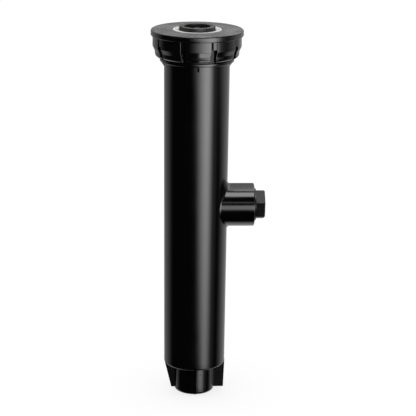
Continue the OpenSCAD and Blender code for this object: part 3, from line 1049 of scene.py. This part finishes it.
def foot_seal_retainer():
    low = foot("foot_seal_retainer").z
    high = top("foot_seal_retainer").z
    corners = [
        (5.2, low, 0.3),
        (TUBE_R - 0.1, low, 0.5),
        (TUBE_R - 0.1, FLOOR_Z - 0.05, 0.1),
        (6.4, FLOOR_Z - 0.05, 0.1),
        (6.4, STEM_FOOT + 0.05, 0.1),
        (TUBE_R, STEM_FOOT + 0.05, 0.2),
        (TUBE_R, high - 1, 0.3),
        (5.2, high, 0.3),
    ]
    made = turned("foot_seal_retainer", fillet(corners, 4), 128)
    for i in range(2):
        cut(made, block((24, 0.9, 5), (0, 0, high - 1), math.pi / 2 * i, 0.2))
    return dress(made, RATCHET_GREY, "riser", "foot_seal_retainer")


# ---------------------------------------------------------------- regulator


def regulator_seat():
    z = foot("regulator_seat").z
    ring = fillet(oblong(7.1, TUBE_R, z, z + 4, 0.3, 0.3, 0.3, 0.3), 4)
    made = turned("regulator_seat", ring, 128)
    button = fillet([(0, z), (3.4, z, 0.4), (3.4, z + 4.5, 0.5), (0, z + 4.5)], 4)
    join(made, turned("button", button, 96))
    for i in range(3):
        join(made, block((4.5, 1.4, 2), (5.2, 0, z + 1), math.radians(120 * i), 0.25))
    return dress(made, INNER_BLACK, "riser", "regulator_seat")


def regulator_housing():
    z = foot("regulator_housing").z
    corners = [
        (4.1, z, 0.3),
        (TUBE_R, z, 0.4),
        (TUBE_R, z + 36, 0.3),
        (7.4, z + 36, 0.2),
        (6.9, z + 35, 0.2),
        (6.9, z + 2, 0.4),
        (4.1, z + 2, 0.3),
    ]
    made = turned("regulator_housing", densified(fillet(corners, 4), 5), LATHE_STEPS)
    return dress(made, INNER_BLACK, "riser", "regulator_housing")


def regulator_piston():
    low, high = foot("regulator_piston").z, top("regulator_piston").z
    head = high - 4
    corners = [
        (2.7, low, 0.2),
        (3.9, low, 0.3),
        (3.9, head, 0.3),
        (6.6, head, 0.25),
        (6.6, head + 1.1, 0.15),
        (5.2, head + 1.1, 0.2),
        (5.2, head + 2.9, 0.2),
        (6.6, head + 2.9, 0.15),
        (6.6, high, 0.25),
        (2.7, high, 0.5),
    ]
    made = turned("regulator_piston", densified(fillet(corners, 4), 3), 128)
    return dress(made, PISTON_WHITE, "piston", "regulator_piston")


def regulator_oring():
    """A ring seal with a trace of moulding flash along its inner and outer edge."""
    middle = (foot("regulator_oring").z + top("regulator_oring").z) / 2
    ring_r, cord_r, steps = 6.05, 0.72, 20
    outline = []
    for k in range(steps):
        a = 2 * math.pi * k / steps
        flash = 0.03 if k % (steps // 2) == 0 else 0
        r = ring_r + (cord_r + flash) * math.cos(a)
        outline.append(Vector((r, middle + cord_r * math.sin(a))))
    made = turned("regulator_oring", outline, 128)
    return dress(made, RUBBER, "piston", "regulator_oring")


# ---------------------------------------------------------------- filter


def filter_frame():
    base = foot("filter_frame").z
    inner, outer = 7, 7.8
    seat, high = STEM_TOP + 0.05, STEM_TOP + 0.95
    corners = [
        (inner, STEM_TOP - 1.5, 0.2),
        (outer, STEM_TOP - 1.5, 0.2),
        (outer, seat, 0.1),
        (9.2, seat, 0.2),
        (9.2, high, 0.3),
        (inner, high, 0.2),
    ]
    made = turned("filter_frame", fillet(corners, 3), 128)
    for i in range(4):
        join(made, block((0.7, 1.4, 45), (7.5, 0, base + 23), math.pi / 2 * i, 0.15))
    for z in (base + 15, base + 30):
        hoop = fillet(oblong(7.2, outer, z, z + 1, 0.1, 0.2, 0.2, 0.1), 3)
        join(made, turned("hoop", hoop, 128))
    end = fillet([(0, base), (outer, base, 0.4), (outer, base + 1.5, 0.3), (0, base + 1.5)], 4)
    join(made, turned("floor", end, 128))
    return dress(made, FILTER_WHITE, "riser", "filter_frame")


def filter_mesh():
    """Woven screen: upright wires and hoops that pass over and under each other."""
    low, high = foot("filter_mesh").z, top("filter_mesh").z
    middle_r, wire_r, weave = 6.95, 0.11, 0.11
    columns, rows = 44, 42
    pitch = (high - low - 2.4) / rows
    first = low + 1.2
    pieces = []
    for i in range(columns):
        angle = 2 * math.pi * i / columns
        path = []
        for k in range(2 * rows + 1):
            swing = weave * math.cos(math.pi * (k / 2 + i))
            path.append(around([(middle_r + swing, first + pitch * k / 2)], angle)[0])
        pieces.append(wire("upright", path, wire_r, 5))
    for j in range(rows + 1):
        ring = []
        for k in range(2 * columns):
            r = middle_r - weave * math.cos(math.pi * (k / 2 + j))
            z = first + pitch * j
            turns = [2 * math.pi * m / 5 for m in range(5)]
            section = [(r + wire_r * math.cos(a), z + wire_r * math.sin(a)) for a in turns]
            ring.append(around(section, math.pi * k / columns))
        pieces.append(skin("hoop", ring, closed=True))
    for z in (low, high - 1.3):
        band = fillet(oblong(6.8, 7.1, z, z + 1.3, 0.12, 0.12, 0.12, 0.12), 3)
        pieces.append(turned("band", band, 88))
    made = merge("filter_mesh", pieces)
    return dress(made, SCREEN_STEEL, "riser", "filter_mesh", 50)


def merge(name, pieces):
    """One object that holds all the pieces' meshes."""
    work = bmesh.new()
    for piece in pieces:
        work.from_mesh(piece.data)
        bpy.data.objects.remove(piece)
    mesh = bpy.data.meshes.new(name)
    work.to_mesh(mesh)
    work.free()
    return placed(name, mesh)


# ---------------------------------------------------------------- nozzle


def nozzle_base():
    low = foot("nozzle_base").z
    bore_r, hole_r, roof = 9.9, 4.2, DECK_Z + 1.5
    corners = [
        (bore_r, low, 0.2),
        (STEM_R, low, 0.4),
        (STEM_R, roof, 0.3),
        (hole_r, roof, 0.3),
        (hole_r, DECK_Z, 0.2),
        (bore_r, DECK_Z, 0.2),
    ]
    made = turned("nozzle_base", densified(fillet(corners, 4), 2), 160)
    return dress(made, NOZZLE_BLACK, "riser", "nozzle_base")


def lobe_notch(angle):
    """1 in a notch of the arc collar, 0 on a lobe."""
    pitch = 2 * math.pi / LOBE_COUNT
    off = abs(angle % pitch - pitch / 2)
    return 1 / (1 + math.exp(min(60, max(-60, (off * COLLAR_R - 1.1) / 0.07))))


def arc_collar():
    low = foot("arc_collar").z

    def lobed(r, z, angle):
        depth = 0.8 * clamped(r - 9.6)
        return r - depth * lobe_notch(angle), z

    corners = oblong(8.2, COLLAR_R, low, NOZZLE_TOP, 0.2, 0.3, 0.55, 0.4)
    made = turned("arc_collar", densified(fillet(corners), 0.6), 2 * FINE_STEPS, lobed)
    return dress(made, NOZZLE_BLACK, "collar", "arc_collar")


def nozzle_deflector():
    hub = top("nozzle_deflector").z
    bore_r, stalk_r, dish_r, hub_r, sink_r = 1.6, 4.1, 8.05, 3, 2.15
    corners = [
        (bore_r, DECK_Z - 4, 0.2),
        (stalk_r, DECK_Z - 4, 0.3),
        (stalk_r, DISH_Z, 0.1),
        (dish_r, DISH_Z, 0.3),
        (dish_r, DISH_Z + 1.2, 0.3),
        (hub_r, DISH_Z + 1.2, 0.3),
        (hub_r, hub, 0.3),
        (sink_r, hub, 0.15),
        (sink_r, hub - 1.2, 0.2),
        (bore_r, hub - 1.2, 0.1),
    ]
    made = turned("nozzle_deflector", densified(fillet(corners, 4), 1.5), LATHE_STEPS)
    height = hub - DISH_Z - 1
    middle = DISH_Z + 0.2 + height / 2
    for i in range(6):
        angle = math.radians(15 + 60 * i)
        join(made, block((5.3, 0.9, height), (5.3, 0, middle), angle))
    return dress(made, NOZZLE_BLACK, "riser", "nozzle_deflector")


def radius_screw():
    low, high = foot("radius_screw").z, top("radius_screw").z
    shank_r, head_r, head_z = 1.3, 2.05, high - 1.4
    corners = [
        (0, low),
        (shank_r, low, 0.4),
        (shank_r, head_z, 0.1),
        (head_r, head_z, 0.1),
        (head_r, high, 0.35),
        (0, high),
    ]
    made = turned("radius_screw", densified(fillet(corners, 4), 1.5), 96)
    root = shank_r - 0.15
    section = ridge_section(shank_r, shank_r + 0.18, 0.42, 0.1, root)
    join(made, helix("thread", section, 10, 0.6, low + 0.8, root=root, steps=32))
    cut(made, block((6, 0.7, 1.4), (0, 0, high), 0, 0.08))
    return dress(made, SCREW_STEEL, "adjuster", "radius_screw")


# ---------------------------------------------------------------- studio


def lit_material(name, shares):
    """A material that mixes a shader with plain light. shares(n) gives the shader, the light's
    share and its strength."""
    material = bpy.data.materials.new(name)
    material.use_nodes = True
    n = Nodes(material.node_tree)
    shader, share, strength = shares(n)
    light = n.add("ShaderNodeEmission")
    light.inputs[1].default_value = strength
    blend = n.add("ShaderNodeMixShader")
    n.link(share, blend.inputs[0])
    n.link(shader.outputs[0], blend.inputs[1])
    n.link(light.outputs[0], blend.inputs[2])
    n.link(blend.outputs[0], n.add("ShaderNodeOutputMaterial").inputs[0])
    return material


def paper(n):
    """Pale paper that glows enough to look evenly lit."""
    place = n.add("ShaderNodeTexCoord").outputs["Object"]
    sheet = n.add("ShaderNodeBsdfDiffuse")
    n.link(n.mixed(n.noise(place, 8), (0.9, 0.9, 0.9, 1), (0.92, 0.92, 0.92, 1)), sheet.inputs[0])
    return sheet, 0.72, 1.04


def steep_light(n):
    """Light that only shows to what looks steeply down on it."""
    view = n.add("ShaderNodeSeparateXYZ")
    n.link(n.add("ShaderNodeNewGeometry").outputs["Incoming"], view.inputs[0])
    steep = n.window(view.outputs[2], 0.53, 0.6, 0.9, 0.94)
    return n.add("ShaderNodeBsdfTransparent"), steep, 5


def floor():
    half = 6000
    points = [(x, y, 0) for x, y in oblong(-half, half, -half, half)]
    sheet = plain("floor", points, [(0, 1, 2, 3)])
    sheet.location.z = cad_box[0].z - 0.2 * MM
    sheet.data.materials.append(lit_material("floor_paper", paper))
    sheet.visible_glossy = False


def card():
    """A lit card low in front, right of the middle. It shows only in the lower part of the cap's
    skirt: the camera and the soft light don't see it."""
    inner_r, outer_r, height, steps = 50, 200, 140, 12
    first, last = math.radians(-85), math.radians(-42)
    points = []
    for i in range(steps + 1):
        angle = first + (last - first) * i / steps
        points += around([(inner_r, height), (outer_r, height)], angle)
    faces = [(2 * i, 2 * i + 1, 2 * i + 3, 2 * i + 2) for i in range(steps)]
    sector = plain("card", points, faces)
    sector.data.materials.append(lit_material("card_light", steep_light))
    sector.visible_camera = False
    sector.visible_diffuse = False
    sector.visible_shadow = False


def front_box(n, azimuth, height):
    """A large soft box right of the camera, whose left edge depends on the height."""
    edge = n.math("ADD", n.ramp(height, -26, -16, 20, -7), n.ramp(height, -14, -9, 0, -18))
    near, far = n.ramp(azimuth, 36, 64, 1.0, 0.05), n.ramp(azimuth, 64, 84, 1.0, 0.0)
    across = n.math("MULTIPLY", n.ramp(azimuth, edge, 36), n.math("MULTIPLY", near, far))
    return n.math("MULTIPLY", across, n.window(height, -32, -10, 5, 12))


def corner_light(n, azimuth, height):
    """A dim patch far to the right, below eye level."""
    across = n.window(azimuth, 72, 92, 104, 124)
    return n.math("MULTIPLY", across, n.window(height, -14, -10.5, 0, 6))


def thin_line(n, y, height):
    """A thin level line of light, in front only."""
    return n.math("MULTIPLY", n.window(height, 20, 23, 26, 29), n.ramp(y, -0.5, 0.0, 1.0, 0.0))


def overhead(n, y, height):
    """A light overhead, in front of the object."""
    return n.math("MULTIPLY", n.ramp(height, 54, 60), n.ramp(y, -0.19, -0.09, 1.0, 0.0))


def under_light(n, y, height):
    """Light from low behind."""
    return n.math("MULTIPLY", n.ramp(y, 0.05, 0.3), n.ramp(height, -42, -26, 1.0, 0.0))


def room(n, azimuth, height):
    """The dim room: brighter at the sides and above, even behind, darker low in front."""
    aside = n.math("ABSOLUTE", azimuth)
    left, right = n.ramp(azimuth, -128, -92, 0.45, 0.0), n.ramp(azimuth, 84, 124, 0.0, 0.68)
    rear = n.add("ShaderNodeMix", data_type="FLOAT")
    n.link(n.ramp(aside, 146, 178), rear.inputs[0])
    n.link(n.math("ADD", left, right), rear.inputs[2])
    rear.inputs[3].default_value = 0.27
    low = n.math("MAXIMUM", n.ramp(height, -44, -24, 0.3, 1.0), n.ramp(aside, 124, 156))
    walls = n.math("MULTIPLY", rear.outputs[0], n.ramp(height, 5, 90, 1.0, 6.6))
    return n.math("MULTIPLY", walls, low)


def mirrored(n):
    """Strength of the light that shiny surfaces mirror, by direction. Azimuth is 0 towards the
    camera and grows to the right, height is above the level, and both are in degrees."""
    direction = n.add("ShaderNodeSeparateXYZ")
    n.link(n.add("ShaderNodeTexCoord").outputs["Generated"], direction.inputs[0])
    x, y, z = direction.outputs
    azimuth = n.math("DEGREES", n.math("ARCTAN2", x, n.math("MULTIPLY", y, -1.0)))
    height = n.math("DEGREES", n.math("ARCSINE", z))
    total = room(n, azimuth, height)
    for part, strength in (
        (front_box(n, azimuth, height), 6.8),
        (overhead(n, y, height), 6.2),
        (thin_line(n, y, height), 1.2),
        (corner_light(n, azimuth, height), 0.4),
        (under_light(n, y, height), 0.7),
    ):
        total = n.math("ADD", total, n.math("MULTIPLY", part, strength))
    return total


def studio(soft=1.08):
    """Soft even light on dull surfaces, and a drawn studio for shiny ones to mirror."""
    world = bpy.data.worlds.new("studio")
    bpy.context.scene.world = world
    world.use_nodes = True
    n = Nodes(world.node_tree)
    strength = n.add("ShaderNodeMix", data_type="FLOAT")
    n.link(n.add("ShaderNodeLightPath").outputs["Is Glossy Ray"], strength.inputs[0])
    strength.inputs[2].default_value = soft
    n.link(mirrored(n), strength.inputs[3])
    background = n.add("ShaderNodeBackground")
    background.inputs[0].default_value = (1, 1, 1, 1)
    n.link(strength.outputs[0], background.inputs[1])
    n.link(background.outputs[0], n.add("ShaderNodeOutputWorld").inputs[0])


def camera():
    """A long lens about a metre off, looking down a little, from just left of the front."""
    distance, height, offset = 1032.1, 413.2, 7.85
    pitch, roll, azimuth = math.radians(15.763), math.radians(0.668), math.radians(-3)
    data = bpy.data.cameras.new("camera")
    data.lens = 146.7865
    data.sensor_width = 36
    data.clip_start = 0.05
    data.clip_end = 30
    obj = placed("camera", data)
    place = Matrix.Translation(Vector((offset, -distance, height)) * MM)
    tilt = Matrix.Rotation(math.pi / 2 - pitch, 4, "X") @ Matrix.Rotation(roll, 4, "Z")
    obj.matrix_world = Matrix.Rotation(azimuth, 4, "Z") @ place @ tilt
    bpy.context.scene.camera = obj


def main():
    body_case()
    side_plug()
    cap()
    wiper_seal()
    spring_seat_ring()
    retract_spring()
    ratchet_ring()
    ratchet_retainer()
    riser_stem()
    foot_seal()
    foot_seal_retainer()
    regulator_seat()
    regulator_housing()
    regulator_piston()
    regulator_oring()
    regulator_spring()
    filter_frame()
    filter_mesh()
    nozzle_base()
    arc_collar()
    nozzle_deflector()
    radius_screw()
    floor()
    card()
    studio()
    camera()
    bpy.context.scene.view_settings.view_transform = "Standard"


main()
